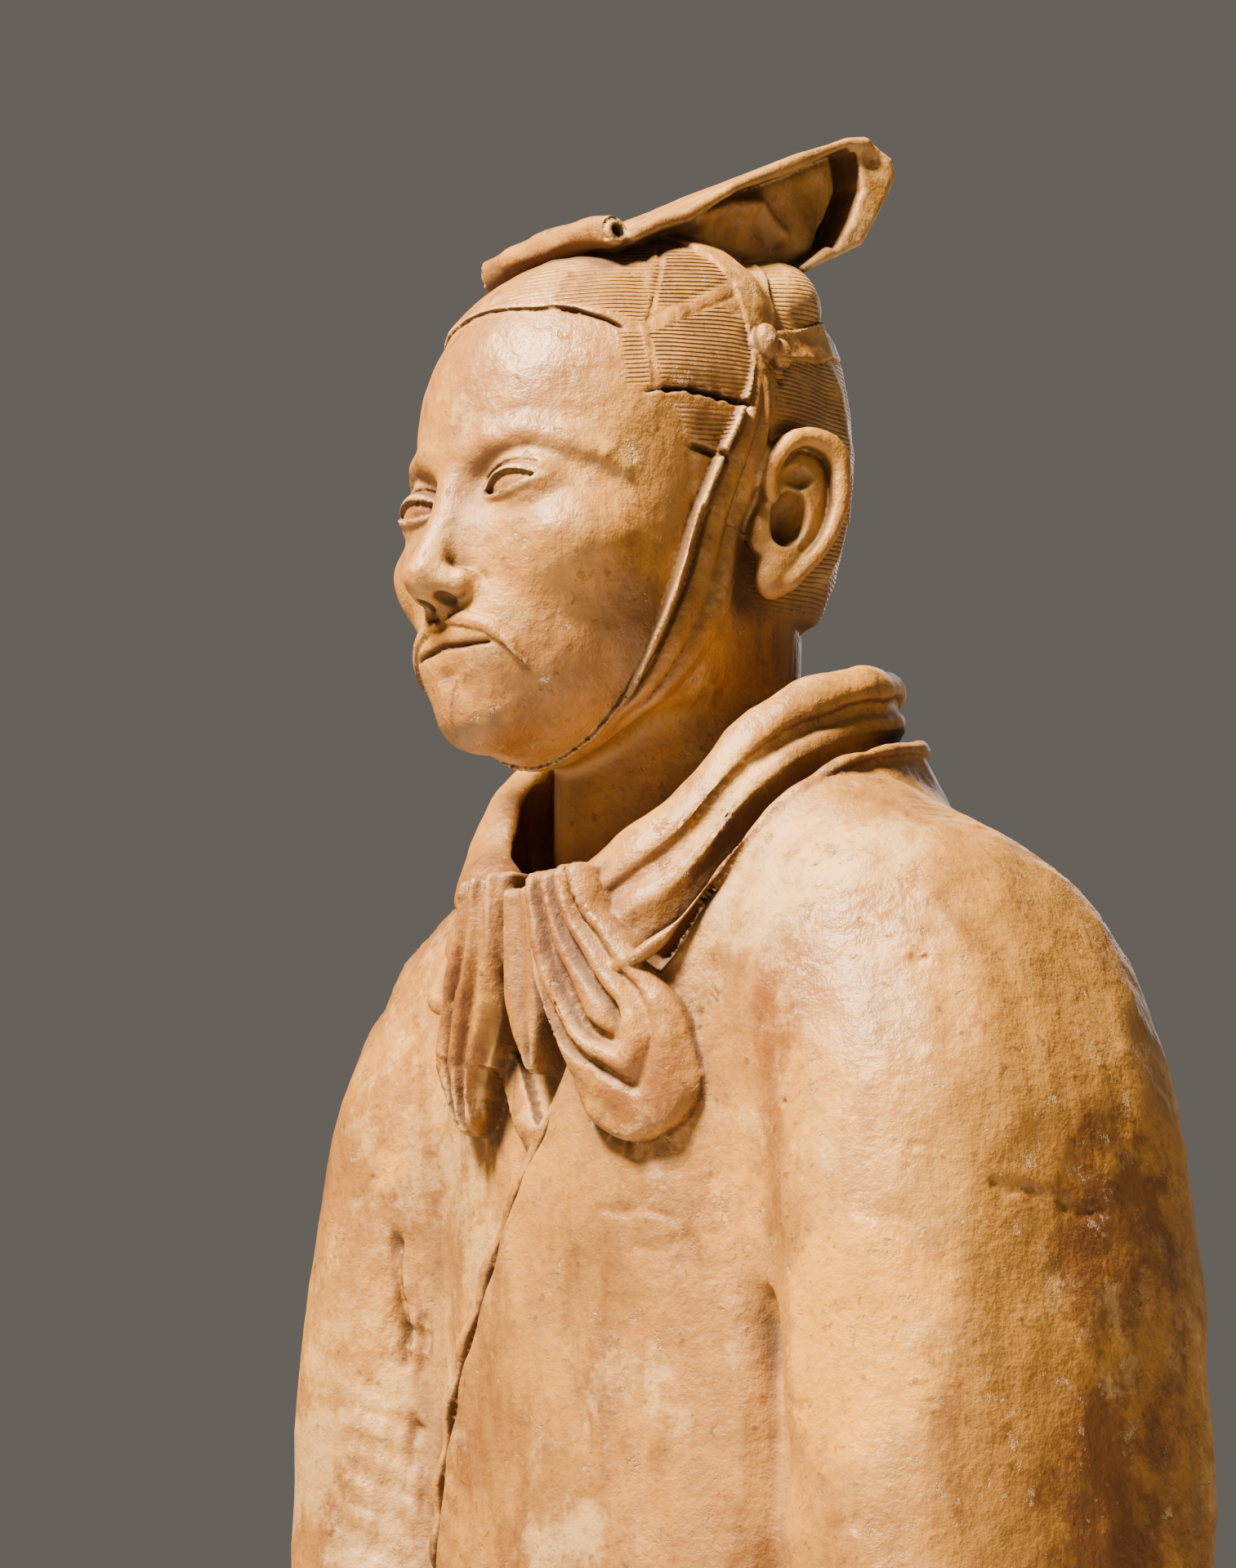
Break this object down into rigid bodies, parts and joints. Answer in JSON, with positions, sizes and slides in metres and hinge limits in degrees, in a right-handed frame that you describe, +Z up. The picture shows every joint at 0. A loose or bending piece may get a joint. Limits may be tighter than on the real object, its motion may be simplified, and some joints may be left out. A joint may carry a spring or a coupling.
{
  "type": "terracotta statue",
  "caption": "Life-size standing robed figure in fired clay with a knotted neck scarf, a long flat cap and joined sleeves, on a low square plinth, with a separate head",
  "frame": {"origin": "the middle of the plinth's underside", "axes": "+Z is up, the figure faces -Y, and the figure's left side is at +X"},
  "size_m": [0.476, 0.4335, 1.8837],
  "materials": {
    "plinth_clay": "matte",
    "body_clay": "satin",
    "head_clay": "satin"
  },
  "bodies": {
    "root": {"plinth": "plinth_clay", "body": "body_clay", "head": "head_clay"}
  },
  "joints": []
}
